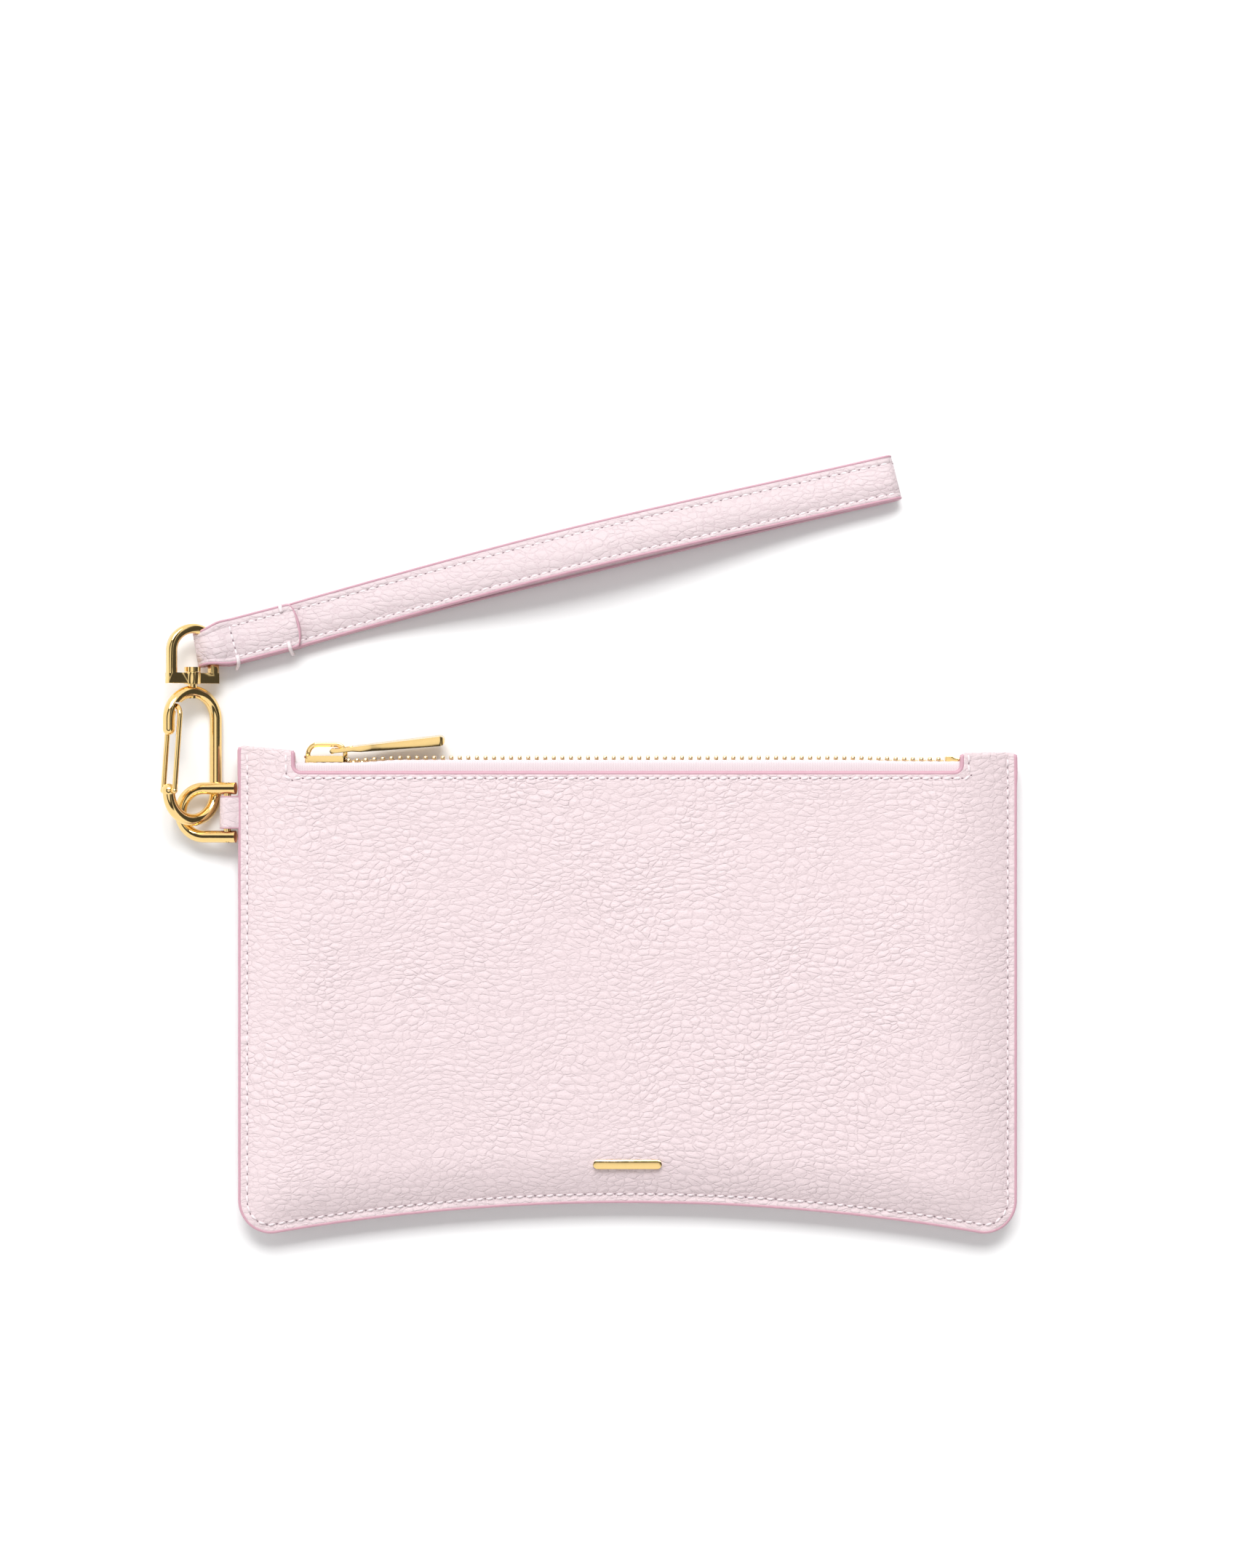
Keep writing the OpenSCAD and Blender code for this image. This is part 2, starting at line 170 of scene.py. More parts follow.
def spaced_line(points, step):
    """The line again, with points an even distance apart."""
    points = np.asarray(points, float)
    lengths = np.concatenate([[0], np.cumsum(np.linalg.norm(np.diff(points, axis=0), axis=1))])
    count = max(2, int(round(lengths[-1] / step)) + 1)
    at = np.linspace(0, lengths[-1], count)
    return np.stack([np.interp(at, lengths, points[:, k]) for k in range(points.shape[1])], 1)


def tangents(points, closed=False):
    points = np.asarray(points, float)
    if closed:
        d = np.roll(points, -1, 0) - np.roll(points, 1, 0)
    else:
        d = np.gradient(points, axis=0)
    return d / np.maximum(np.linalg.norm(d, axis=1, keepdims=True), 1e-9)


def capsule_chain(places, length, width, height, rings=7, around=8):
    """Short rounded thread stitches. places holds (centre, along, up) for each."""
    parts = []
    for centre, along, up in places:
        along, up = unit(along), unit(up)
        side = np.cross(up, along)
        points, faces = [], []
        for i in range(rings):
            t = -1 + 2 * i / (rings - 1)
            r = max(0.12, (1 - abs(t) ** 3.2) ** 0.5)
            sink = -0.55 * height * abs(t) ** 2.5
            for k in range(around):
                a = 2 * math.pi * k / around
                points.append(np.asarray(centre) + along * t * length / 2
                              + side * math.cos(a) * width / 2 * r
                              + up * (math.sin(a) * height / 2 * r + sink))
        for i in range(rings - 1):
            for k in range(around):
                q = (k + 1) % around
                faces.append((i * around + k, i * around + q, (i + 1) * around + q, (i + 1) * around + k))
        faces.append(tuple(range(around))[::-1])
        faces.append(tuple((rings - 1) * around + k for k in range(around)))
        parts.append((points, faces))
    return merged(parts)


# ---------------------------------------------------------------- materials

def srgb(r, g, b):
    """Linear colour of an sRGB value from 0 to 255."""
    out = []
    for c in (r, g, b):
        c = c / 255
        out.append(c / 12.92 if c <= 0.04045 else ((c + 0.055) / 1.055) ** 2.4)
    return (*out, 1.0)


def node_material(name):
    material = bpy.data.materials.new(name)
    material.use_nodes = True
    tree = material.node_tree
    shader = tree.nodes["Principled BSDF"]
    return material, tree, shader


def linked(tree, kind, inputs, **values):
    """A new node with properties set and its inputs linked or set."""
    made = tree.nodes.new(kind)
    for key, value in values.items():
        setattr(made, key, value)
    for key, value in inputs.items():
        if isinstance(value, bpy.types.NodeSocket):
            tree.links.new(value, made.inputs[key])
        else:
            made.inputs[key].default_value = value
    return made


def object_space(tree, scale):
    """The piece's own coordinates, in metres, times a scale."""
    where = tree.nodes.new("ShaderNodeTexCoord")
    mapped = linked(tree, "ShaderNodeMapping", {"Vector": where.outputs["Object"], "Scale": scale},
                    vector_type="POINT")
    return mapped.outputs["Vector"]


PEBBLE_DEPTH = 0.00019


def leather_material(name, base, crease_shade, turn=0.0, bump=1.0):
    """Pebbled soft leather: long flat pebbles between fine creases that wander, with small pores; the creases
    get a painted shade.
    """
    material, tree, shader = node_material(name)
    fine_at = object_space(tree, (1000, 1000, 1000))
    flow = linked(tree, "ShaderNodeTexNoise", {"Vector": fine_at, "Scale": 0.035, "Detail": 1.0})
    wander = linked(tree, "ShaderNodeVectorMath", {0: flow.outputs["Color"], 1: (9.0, 9.0, 0.0)},
                    operation="MULTIPLY")
    moved = linked(tree, "ShaderNodeVectorMath", {0: fine_at, 1: wander.outputs["Vector"]}, operation="ADD")
    cells_at = linked(tree, "ShaderNodeMapping", {"Vector": moved.outputs["Vector"],
                                                  "Scale": (0.33, 0.60, 0.5), "Rotation": (0, 0, turn)},
                      vector_type="POINT")
    warp = linked(tree, "ShaderNodeTexNoise", {"Vector": fine_at, "Scale": 0.5, "Detail": 2.0})
    bent = linked(tree, "ShaderNodeMixRGB", {"Fac": 0.6, "Color1": cells_at.outputs["Vector"],
                                             "Color2": warp.outputs["Color"]}, blend_type="ADD")
    cells = linked(tree, "ShaderNodeTexVoronoi", {"Vector": bent.outputs["Color"], "Scale": 1.0,
                                                  "Randomness": 0.9}, feature="DISTANCE_TO_EDGE")
    middle = linked(tree, "ShaderNodeTexVoronoi", {"Vector": bent.outputs["Color"], "Scale": 1.0,
                                                   "Randomness": 0.9, "Smoothness": 0.25},
                    feature="SMOOTH_F1")
    crease = linked(tree, "ShaderNodeMapRange", {"Value": cells.outputs["Distance"], "From Max": 0.11},
                    interpolation_type="SMOOTHSTEP")
    crown = linked(tree, "ShaderNodeMapRange", {"Value": middle.outputs["Distance"], "From Min": 0.75,
                                                "From Max": 0.05}, interpolation_type="SMOOTHSTEP")
    small = linked(tree, "ShaderNodeTexVoronoi", {"Vector": bent.outputs["Color"], "Scale": 2.3},
                   feature="DISTANCE_TO_EDGE")
    wrinkle = linked(tree, "ShaderNodeMapRange", {"Value": small.outputs["Distance"], "From Max": 0.2},
                     interpolation_type="SMOOTHSTEP")
    pores = linked(tree, "ShaderNodeTexNoise", {"Vector": fine_at, "Scale": 2.6, "Detail": 3.0})
    patch = linked(tree, "ShaderNodeTexNoise", {"Vector": fine_at, "Scale": 0.045, "Detail": 3.0})
    strength = linked(tree, "ShaderNodeMapRange", {"Value": patch.outputs["Fac"], "From Min": 0.35,
                                                   "From Max": 0.65, "To Min": 0.5, "To Max": 1.0})
    sharp = linked(tree, "ShaderNodeMath", {0: crease.outputs["Result"], 1: 0.5}, operation="MULTIPLY")
    domed = linked(tree, "ShaderNodeMath", {0: crown.outputs["Result"], 1: 1.1, 2: sharp.outputs["Value"]},
                   operation="MULTIPLY_ADD")
    height = linked(tree, "ShaderNodeMath", {0: domed.outputs["Value"], 1: strength.outputs["Result"]},
                    operation="MULTIPLY")
    creased = linked(tree, "ShaderNodeMath", {0: wrinkle.outputs["Result"], 1: 0.16,
                                              2: height.outputs["Value"]}, operation="MULTIPLY_ADD")
    relief = linked(tree, "ShaderNodeMath", {0: pores.outputs["Fac"], 1: 0.30, 2: creased.outputs["Value"]},
                    operation="MULTIPLY_ADD")
    bumped = linked(tree, "ShaderNodeBump", {"Height": relief.outputs["Value"], "Strength": 1.0,
                                             "Distance": PEBBLE_DEPTH * bump})
    # The creases take the darker colour: painted shade in the creases, on top of the bump.
    tone = linked(tree, "ShaderNodeMixRGB", {"Fac": crease.outputs["Result"], "Color1": crease_shade, "Color2": base})
    cloud = linked(tree, "ShaderNodeMapRange", {"Value": patch.outputs["Fac"], "From Min": 0.35,
                                                "From Max": 0.7, "To Min": 0.97, "To Max": 1.0})
    tinted = linked(tree, "ShaderNodeMixRGB", {"Fac": 1.0, "Color1": tone.outputs["Color"],
                                               "Color2": cloud.outputs["Result"]}, blend_type="MULTIPLY")
    rough = linked(tree, "ShaderNodeMapRange", {"Value": pores.outputs["Fac"], "To Min": 0.42,
                                                "To Max": 0.62})
    tree.links.new(tinted.outputs["Color"], shader.inputs["Base Color"])
    tree.links.new(rough.outputs["Result"], shader.inputs["Roughness"])
    tree.links.new(bumped.outputs["Normal"], shader.inputs["Normal"])
    shader.inputs["Specular IOR Level"].default_value = 0.35
    return material


def smooth_material(name, base, dark, rough, grain=900.0, bump=0.00004, specular=0.5):
    """Painted or waxed surface with faint mottling."""
    material, tree, shader = node_material(name)
    at = object_space(tree, (grain, grain, grain))
    mottle = linked(tree, "ShaderNodeTexNoise", {"Vector": at, "Scale": 0.6, "Detail": 4.0})
    tone = linked(tree, "ShaderNodeMixRGB", {"Fac": mottle.outputs["Fac"], "Color1": dark, "Color2": base})
    bumped = linked(tree, "ShaderNodeBump", {"Height": mottle.outputs["Fac"], "Strength": 0.6,
                                             "Distance": bump})
    tree.links.new(tone.outputs["Color"], shader.inputs["Base Color"])
    tree.links.new(bumped.outputs["Normal"], shader.inputs["Normal"])
    shader.inputs["Roughness"].default_value = rough
    shader.inputs["Specular IOR Level"].default_value = specular
    return material


def woven_material(name, base, dark, across, along, depth=0.00012):
    """Plain weave: crossed waves, with the given numbers of threads to the metre."""
    material, tree, shader = node_material(name)
    at = object_space(tree, (1, 1, 1))
    split = linked(tree, "ShaderNodeSeparateXYZ", {"Vector": at})
    waves = []
    for axis, count in (("X", along), ("Y", across), ("Z", across)):
        turn = linked(tree, "ShaderNodeMath", {0: split.outputs[axis], 1: count * 2 * math.pi},
                      operation="MULTIPLY")
        waves.append(linked(tree, "ShaderNodeMath", {0: turn.outputs["Value"]}, operation="SINE"))
    cross = linked(tree, "ShaderNodeMath", {0: waves[1].outputs["Value"], 1: waves[2].outputs["Value"]},
                   operation="ADD")
    mixed = linked(tree, "ShaderNodeMath", {0: waves[0].outputs["Value"], 1: cross.outputs["Value"]},
                   operation="MULTIPLY")
    level = linked(tree, "ShaderNodeMapRange", {"Value": mixed.outputs["Value"], "From Min": -1.0,
                                                "From Max": 1.0})
    tone = linked(tree, "ShaderNodeMixRGB", {"Fac": level.outputs["Result"], "Color1": dark, "Color2": base})
    bumped = linked(tree, "ShaderNodeBump", {"Height": level.outputs["Result"], "Strength": 0.7,
                                             "Distance": depth})
    tree.links.new(tone.outputs["Color"], shader.inputs["Base Color"])
    tree.links.new(bumped.outputs["Normal"], shader.inputs["Normal"])
    shader.inputs["Roughness"].default_value = 0.75
    shader.inputs["Sheen Weight"].default_value = 0.3
    return material


def gold_material(name, base, rough, scratch=0.00001):
    """Polished plated metal with faint handling marks in its gloss."""
    material, tree, shader = node_material(name)
    at = object_space(tree, (1000, 1000, 1000))
    marks = linked(tree, "ShaderNodeTexNoise", {"Vector": at, "Scale": 0.8, "Detail": 5.0})
    gloss = linked(tree, "ShaderNodeMapRange", {"Value": marks.outputs["Fac"], "From Min": 0.3,
                                                "From Max": 0.75, "To Min": rough * 0.75,
                                                "To Max": rough * 1.35})
    shade = linked(tree, "ShaderNodeMapRange", {"Value": marks.outputs["Fac"], "To Min": 0.93, "To Max": 1.0})
    tone = linked(tree, "ShaderNodeMixRGB", {"Fac": 1.0, "Color1": base, "Color2": shade.outputs["Result"]},
                  blend_type="MULTIPLY")
    bumped = linked(tree, "ShaderNodeBump", {"Height": marks.outputs["Fac"], "Strength": 0.3,
                                             "Distance": scratch})
    tree.links.new(tone.outputs["Color"], shader.inputs["Base Color"])
    tree.links.new(gloss.outputs["Result"], shader.inputs["Roughness"])
    tree.links.new(bumped.outputs["Normal"], shader.inputs["Normal"])
    shader.inputs["Metallic"].default_value = 1.0
    return material


PINK = srgb(224, 206, 209)
# The darker pink is painted shade for the leather's creases.
PINK_CREASE_SHADE = srgb(217, 199, 202)
leather = leather_material("pebbled_leather", PINK, PINK_CREASE_SHADE)
# The strap leather's second colour is painted shade for its creases.
strap_leather = leather_material("strap_leather", srgb(214, 198, 201), srgb(209, 191, 195),
                                 turn=math.radians(-14), bump=0.8)
edge_paint = smooth_material("edge_paint", srgb(203, 160, 173), srgb(192, 147, 161), 0.42)
strap_edge_paint = smooth_material("strap_edge_paint", srgb(200, 158, 171), srgb(188, 142, 157), 0.45)
thread = smooth_material("thread", srgb(244, 234, 236), srgb(216, 200, 204), 0.6, grain=2600.0, bump=0.00008)
# Dark spots at the needle holes: painted shade of the holes.
painted_hole_shade = smooth_material("painted_hole_shade", srgb(150, 130, 136), srgb(128, 108, 115), 0.8, grain=2600.0)
lining_cloth = woven_material("lining_cloth", srgb(222, 196, 200), srgb(204, 176, 182), 2200.0, 2200.0)
tape_cloth = woven_material("tape_cloth", srgb(226, 213, 216), srgb(216, 202, 206), 1500.0, 1500.0, 0.00006)
gold = gold_material("polished_gold", (0.93, 0.66, 0.28, 1), 0.09)
gold_teeth = gold_material("zip_gold", (0.92, 0.72, 0.42, 1), 0.25)


# ---------------------------------------------------------------- pouch shape

def ease(t):
    t = np.clip(t, 0, 1)
    return t * (2 - t)


def smooth(t):
    t = np.clip(t, 0, 1)
    return t * t * (3 - 2 * t)


def bottom_y(x):
    return BOTTOM_MID - BOTTOM_R + np.sqrt(BOTTOM_R**2 - np.asarray(x, float) ** 2)


def rise(x, y):
    """The dome over the pouch, which starts at the flat sewn rim and climbs more slowly from the sides."""
    run = DOME_RUN - RIM_FLAT
    return (DOME_RISE * ease((HALF_W - RIM_FLAT - np.abs(x)) / (run + DOME_SIDE_EXTRA))
            * ease((y - bottom_y(x) - RIM_FLAT) / run))


def arc(cx, cy, r, start, stop, count):
    return [(cx + r * math.cos(math.radians(a)), cy + r * math.sin(math.radians(a)))
            for a in np.linspace(start, stop, count)]


def panel_outline(step, slack=0.0):
    """The panel's edge, counterclockwise from the bottom's middle; slack widens the zip's window."""
    window = WINDOW_HALF + slack
    ear_r, lip_r = 1.4, 1.1

    def half(outer, inner):
        out = [(x, float(bottom_y(x))) for x in np.linspace(0, BOTTOM_LOW_X, 90)]
        out += arc(HALF_W - CORNER_R, CORNER_Y, CORNER_R, 272, 360, 24)
        out += arc(HALF_W - ear_r, outer - ear_r, ear_r, 0, 88, 8)
        out += arc(window + lip_r, inner - lip_r, lip_r, 88, 180, 8)
        out += arc(window - WINDOW_R, WINDOW_EDGE + WINDOW_R, WINDOW_R, 0, -90, 9)
        return out + [(0.0, WINDOW_EDGE)]

    right = half(*RIGHT_EAR)
    left = [(-x, y) for x, y in reversed(half(*LEFT_EAR)[1:-1])]
    line = np.array(right + left + [right[0]])
    return spaced_line(line, step)[:-1]


def inward(line):
    t = tangents(line, closed=True)
    return np.stack([-t[:, 1], t[:, 0]], 1)


def stitch_routes():
    """The perimeter seam and the seam round the zip window, in the plane of the panel."""
    line = panel_outline(0.5)
    seam = line + inward(line) * STITCH_INSET
    along_rim = (np.abs(line[:, 0]) > HALF_W - 0.01) | (line[:, 1] < -50)
    first = int(np.argmax((line[:, 0] < 0) & along_rim & (line[:, 1] > 0)))
    order = np.roll(np.arange(len(line)), -first)
    rim = np.array([seam[i] for i in order if along_rim[i] and abs(seam[i][1]) < EAR_TOP - SEAM_END])
    leg_x, seam_y, bend = 93.6, 58.6, 1.0
    window = [(-leg_x, EAR_TOP - SEAM_END)] + arc(-leg_x + bend, seam_y + bend, bend, 180, 270, 4)
    window += arc(leg_x - bend, seam_y + bend, bend, 270, 360, 4) + [(leg_x, EAR_TOP - SEAM_END)]
    return [spaced_line(rim, ROUTE_STEP), spaced_line(np.array(window), ROUTE_STEP)]


ROUTES = stitch_routes()


def nearest(points, targets, chunk=1500):
    """Distance to, and index of, the nearest target of each point."""
    out_d, out_i = [], []
    for at in range(0, len(points), chunk):
        d = np.linalg.norm(points[at:at + chunk, None] - targets[None], axis=2)
        out_i.append(d.argmin(1))
        out_d.append(d.min(1))
    return np.concatenate(out_d), np.concatenate(out_i)


def flat_mesh(line, rings, grid):
    """Triangles that fill an outline, with rings of points beside its edge and an even grid inside."""
    normals = inward(line)
    fine = spaced_line(np.vstack([line, line[:1]]), 0.4)
    kept = [line]
    for d in rings:
        ring = line + normals * d
        away, _ = nearest(ring, fine)
        kept.append(ring[away > 0.94 * d])
    low, high = line.min(0), line.max(0)
    rows = np.arange(low[1], high[1], grid * 0.87)
    inner = np.array([(x + (grid / 2 if k % 2 else 0), y) for k, y in enumerate(rows)
                      for x in np.arange(low[0], high[0], grid)])
    away, index = nearest(inner, line)
    side = ((inner - line[index]) * normals[index]).sum(1) > 0
    kept.append(inner[side & (away > rings[-1] + grid * 0.45)])
    points = np.vstack(kept)
    made = geometry.delaunay_2d_cdt([Vector(p) for p in points], [], [list(range(len(line)))], 1, 1e-4)
    return np.array([tuple(v) for v in made[0]]), [tuple(f) for f in made[2]]


def border_edges(faces):
    """Directed edges that only one face uses."""
    seen = {}
    for f in faces:
        for k in range(len(f)):
            a, b = f[k], f[(k + 1) % len(f)]
            if (b, a) in seen:
                del seen[(b, a)]
            else:
                seen[(a, b)] = True
    return list(seen)


def wrinkles(points, scale, amount, seed):
    return np.array([noise.noise(Vector((p[0] / scale, p[1] / scale, seed))) for p in points]) * amount


def shell(points, faces, top, low, side):
    """A closed sheet from a flat mesh and its two heights; side -1 mirrors it to the back."""
    n = len(points)
    out = [(p[0], p[1], MID_Z + side * z) for p, z in zip(points, top)]
    out += [(p[0], p[1], MID_Z + side * z) for p, z in zip(points, low)]
    made = list(faces) + [tuple(i + n for i in f[::-1]) for f in faces]
    made += [(b, a, a + n, b + n) for a, b in border_edges(faces)]
    return out, made


EDGE_RINGS = [0.12, 0.35, 0.6, 0.9, 1.2, 1.6, 1.95, 2.35, 2.75, 3.2, 4.0, 5.0]
EDGE_ROUND, EDGE_DROP = 0.95, 0.5
GROOVE_DEPTH, GROOVE_DIMPLE, GROOVE_HALF = 0.13, 0.05, 0.55
WAVES_FROM, WAVES_RUN, WAVES_TOP = 3, 10, 0.10
LONG_WAVES, SHORT_WAVES = (26, 0.16), (9, 0.05)


def leather_height(points, line, seed):
    """Height of a panel's outer face above the middle: dome, rounded edge, seam grooves and soft waves."""
    away, _ = nearest(points, line)
    z = RIM_HALF + rise(points[:, 0], points[:, 1])
    z = z - EDGE_DROP * np.clip(1 - away / EDGE_ROUND, 0, 1) ** 2
    for route in ROUTES:
        d, i = nearest(points, route)
        phase = np.cos(2 * math.pi * (i * ROUTE_STEP) / STITCH_PITCH)
        z = z - (GROOVE_DEPTH + GROOVE_DIMPLE * phase) * np.exp(-((d / GROOVE_HALF) ** 2))
    free = np.clip((away - WAVES_FROM) / WAVES_RUN, 0, 1)
    waves = wrinkles(points, *LONG_WAVES, seed) + wrinkles(points, *SHORT_WAVES, seed + 7)
    return z + free * (np.minimum(waves, WAVES_TOP) - WAVES_TOP)


OUTLINE_STEP, PANEL_GRID = 0.7, 2.0
BACK_SLACK = 1.2


def make_panels():
    for side, name, node, seed in ((1, "front_leather", "front_panel", 1.5),
                                   (-1, "back_leather", "back_panel", 8.5)):
        line = panel_outline(OUTLINE_STEP, 0.0 if side > 0 else BACK_SLACK)
        fine = spaced_line(np.vstack([line, line[:1]]), ROUTE_STEP)
        points, faces = flat_mesh(line, EDGE_RINGS, PANEL_GRID)
        top = leather_height(points, fine, seed)
        low = RIM_HALF + rise(points[:, 0], points[:, 1]) - LEATHER_T
        piece = mesh_piece(name, *shell(points, faces, top, low, side), leather)
        place(piece, "pouch", "leather", node)
        make_edge_paint(name.replace("leather", "edge_paint"), line, side)
        make_panel_stitches(name.replace("leather", "stitches"), side)


BEAD_HALF = (0.5, 0.67)  # half its width and half its height
BEAD_INSET, BEAD_DROP = 0.26, 0.04
BEAD_HIDE = 0.5  # how far it draws in, and shrinks, on an ear's top
WINDOW_BEAD_EXTRA = 0.3


def make_edge_paint(name, line, side):
    """The painted bead along a panel's cut edge, wider round the zip's window and drawn in and smaller on the
    ears' tops.
    """
    normals = inward(line)
    z = MID_Z + side * (RIM_HALF + rise(line[:, 0], line[:, 1]) - LEATHER_T / 2 - BEAD_DROP)
    on_ear_top = smooth((-normals[:, 1] - 0.6) / 0.3) * (line[:, 1] > 63.0)
    path = np.column_stack([line + normals * (BEAD_INSET + BEAD_HIDE * on_ear_top)[:, None], z])
    path[:, 2] += side * wrinkles(path, 4.0, 0.03, 3.0)
    path[:, :2] += normals * wrinkles(path, 6.0, 0.05, 5.0)[:, None]
    sides = np.column_stack([-normals, np.zeros(len(line))])
    ups = np.tile((0, 0, 1.0), (len(line), 1))
    at_window = smooth((line[:, 1] - 56.0) / 4.0)
    scales = [((1.0 + WINDOW_BEAD_EXTRA * w) * (1 - BEAD_HIDE * hidden), 1.0 - BEAD_HIDE * hidden)
              for w, hidden in zip(at_window, on_ear_top)]
    bead = sweep(path, sides, ups, ellipse(*BEAD_HALF, 16, 2.3), closed=True, scales=scales)
    piece = mesh_piece(name, *bead, edge_paint)
    place(piece, "pouch", "leather")


def surface_point(x, y, side, lift):
    """A point above a panel's face, and the direction straight out of the face there."""
    z = float(RIM_HALF + rise(x, y)) + lift
    step = 0.3
    slope_x = float(rise(x + step, y) - rise(x - step, y)) / (2 * step)
    slope_y = float(rise(x, y + step) - rise(x, y - step)) / (2 * step)
    return np.array([x, y, MID_Z + side * z]), unit((-slope_x * side, -slope_y * side, 1.0)) * side


def make_panel_stitches(name, side):
    places, holes = [], []
    for route in ROUTES:
        total = len(route) * ROUTE_STEP
        count = int(total / STITCH_PITCH)
        for k in range(count):
            i = min(int((k + 0.5) * total / count / ROUTE_STEP), len(route) - 2)
            ahead = route[min(i + 1, len(route) - 1)] - route[max(i - 1, 0)]
            centre, up = surface_point(*route[i], side, FRONT_STITCH_LIFT if side > 0 else BACK_STITCH_LIFT)
            along = unit((ahead[0], ahead[1], 0))
            along = unit(along - up * np.dot(along, up))
            slanted = along * math.cos(STITCH_SLANT) + np.cross(up, along) * math.sin(STITCH_SLANT)
            places.append((centre, slanted, up))
            if centre[1] < EAR_TOP - NO_HOLES:
                holes.append((centre + along * total / count / 2 - up * HOLE_SINK, along, up))
    piece = mesh_piece(name, *capsule_chain(places, *STITCH_SIZE), thread)
    place(piece, "pouch", "leather")
    # Painted shade in the needle holes: dark spots sunk a little under each gap between stitches.
    made = capsule_chain(holes, *HOLE_SIZE, HOLE_RINGS, HOLE_AROUND)
    piece = mesh_piece(name.replace("stitches", "needle_holes"), *made, painted_hole_shade)
    place(piece, "pouch", "leather")


def make_linings():
    line = panel_outline(2.0)
    line = line + inward(line) * 0.35
    points, faces = flat_mesh(line, [1.5, 3.5], 5.0)
    gap = 0.02
    for side, name, node in ((1, "front_lining_cloth", "front_lining"),
                             (-1, "back_lining_cloth", "back_lining")):
        top = RIM_HALF - LEATHER_T - gap + rise(points[:, 0], points[:, 1])
        piece = mesh_piece(name, *shell(points, faces, top, top - LINING_T + 2 * gap, side), lining_cloth)
        place(piece, "pouch", "lining", node)


def make_slip_pocket():
    """A thin pocket with a soft belly and a thicker hem along its mouth."""
    low, high = box_mm("slip_pocket")
    nx, ny = 40, 24
    points, faces = [], []
    for layer in (0.0, 0.28):
        for j in range(ny + 1):
            for i in range(nx + 1):
                u, v = i / nx, j / ny
                x = low[0] + (high[0] - low[0]) * u
                y = low[1] + (high[1] - low[1]) * v
                lift = 0.5 * math.sin(math.pi * u) ** 0.5 * min(1.0, v * 5)
                hem = 0.12 if v > 0.93 else 0.0
                points.append((x, y, low[2] + 0.05 + lift + layer + hem * (layer > 0)))
    n = (nx + 1) * (ny + 1)
    for j in range(ny):
        for i in range(nx):
            a = j * (nx + 1) + i
            q = (a, a + 1, a + nx + 2, a + nx + 1)
            faces.append(tuple(k + n for k in q))
            faces.append(q[::-1])
    top_faces = [f for f in faces if f[0] >= n]
    faces += [(b, a, a - n, b - n) for a, b in border_edges(top_faces)]
    piece = mesh_piece("slip_pocket_cloth", points, faces, lining_cloth)
    place(piece, "pouch", "lining", "slip_pocket")


# ---------------------------------------------------------------- zip

TOOTH_PITCH = 2.35
TOOTH_W = 1.15
TAPE_END = 93.5
TAPE_EDGE = 1.9
TAPE_MID = 62.6
TAPE_HALF_T = 0.17
ZIP_BOW, ZIP_END_DROP = 0.75, 0.4
BACK_ROW_LIFT = -0.3


def zip_lift(x):
    """How far the closed front row bows up: none at the slider, most past it, less at the right end."""
    return ZIP_BOW * float(smooth((x + 77) / 16)) - ZIP_END_DROP * float(smooth((x - 58) / 24))


def make_tapes():
    """Each tape stands inside its panel, rolls over at the top and runs in between the teeth."""
    web = DOME_RISE - 0.2
    for side, name, node in ((1, "front_tape", "zip_tape_front"), (-1, "back_tape", "zip_tape_back")):
        crest = 61.75 if side > 0 else 61.3
        profile = [(y, web) for y in (50.0, 54.0, 58.0, 60.0, 61.4)]
        profile += [(crest + 1.0 * math.sin(t), web - 0.75 + 0.75 * math.cos(t))
                    for t in np.linspace(0.1, math.pi - 0.3, 11)]
        profile += [(TAPE_MID, TAPE_EDGE + 0.6), (TAPE_MID, TAPE_EDGE)]
        profile = np.array(profile)
        t = tangents(profile)
        normal = np.stack([-t[:, 1], t[:, 0]], 1)
        xs = np.arange(-TAPE_END, TAPE_END + 0.1, 0.6)
        points, faces = [], []
        m = len(profile)
        for layer in (TAPE_HALF_T, -TAPE_HALF_T):
            for x in xs:
                lift = zip_lift(x) if side > 0 else 0.0
                for k in range(m):
                    held = float(smooth((profile[k][0] - 60) / 2.4))
                    sway = 0.05 * noise.noise(Vector((x / 7, side * 3.0, k * 0.3)))
                    rib = 0.06 * math.cos(2 * math.pi * x / TOOTH_PITCH) * (k > 7)
                    y = profile[k][0] - normal[k][0] * layer + sway + (lift + rib) * held
                    z = profile[k][1] - normal[k][1] * layer
                    points.append((x, y, MID_Z + side * z))
        n = len(xs) * m
        top = [(i * m + k, i * m + k + 1, (i + 1) * m + k + 1, (i + 1) * m + k)
               for i in range(len(xs) - 1) for k in range(m - 1)]
        faces = top + [tuple(q + n for q in f[::-1]) for f in top]
        faces += [(b, a, a + n, b + n) for a, b in border_edges(top)]
        piece = mesh_piece(name, points, faces, tape_cloth)
        place(piece, "pouch", "zip_tape", node)


def rounded_block(low, high, power=4.0, rings=7, around=12):
    """A block with softly rounded edges and corners."""
    centre = (np.array(low) + np.array(high)) / 2
    half = (np.array(high) - np.array(low)) / 2

    def shaped(v):
        return math.copysign(abs(v) ** (2 / power), v)

    points, faces = [], []
    for i in range(1, rings):
        phi = -math.pi / 2 + math.pi * i / rings
        for k in range(around):
            a = 2 * math.pi * (k + 0.5) / around
            points.append(centre + half * np.array([shaped(math.cos(phi)) * shaped(math.cos(a)),
                                                    shaped(math.cos(phi)) * shaped(math.sin(a)),
                                                    shaped(math.sin(phi))]))
    for i in range(rings - 2):
        for k in range(around):
            q = (k + 1) % around
            faces.append((i * around + k, i * around + q, (i + 1) * around + q, (i + 1) * around + k))
    faces.append(tuple(range(around))[::-1])
    faces.append(tuple((rings - 2) * around + k for k in range(around)))
    return points, faces


